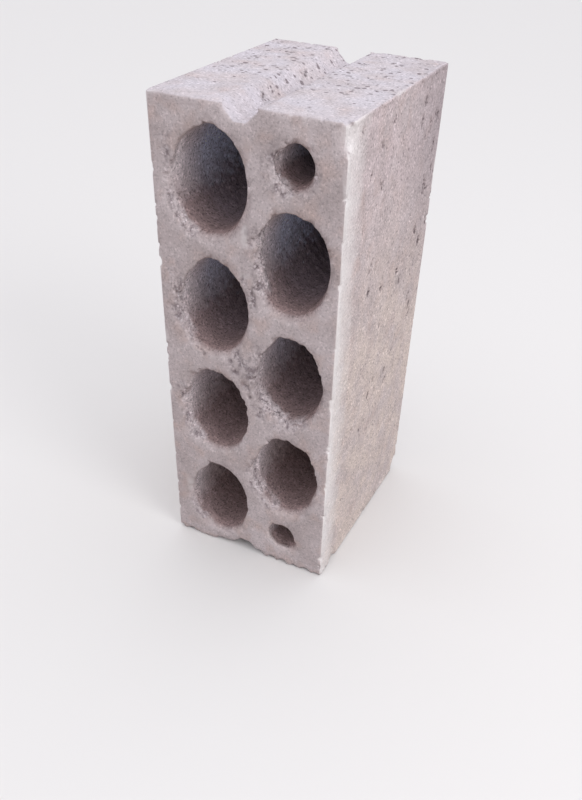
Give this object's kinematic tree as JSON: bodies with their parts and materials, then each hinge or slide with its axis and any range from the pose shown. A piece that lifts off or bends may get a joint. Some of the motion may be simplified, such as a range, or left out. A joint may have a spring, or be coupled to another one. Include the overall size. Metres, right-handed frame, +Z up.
{
  "type": "concrete block",
  "caption": "Cellular concrete block standing on end, with two staggered rows of blind oval cores and a mortar groove across each end.",
  "frame": {"origin": "middle of the end that the block stands on", "axes": "+Z up along the block's length, +X across its two rows of cores, -Y out of the open mouths of the cores"},
  "size_m": [0.15, 0.19, 0.39],
  "materials": {
    "concrete": "rough, open-textured, dry"
  },
  "bodies": {
    "root": {"concrete_block": "concrete"}
  },
  "joints": []
}
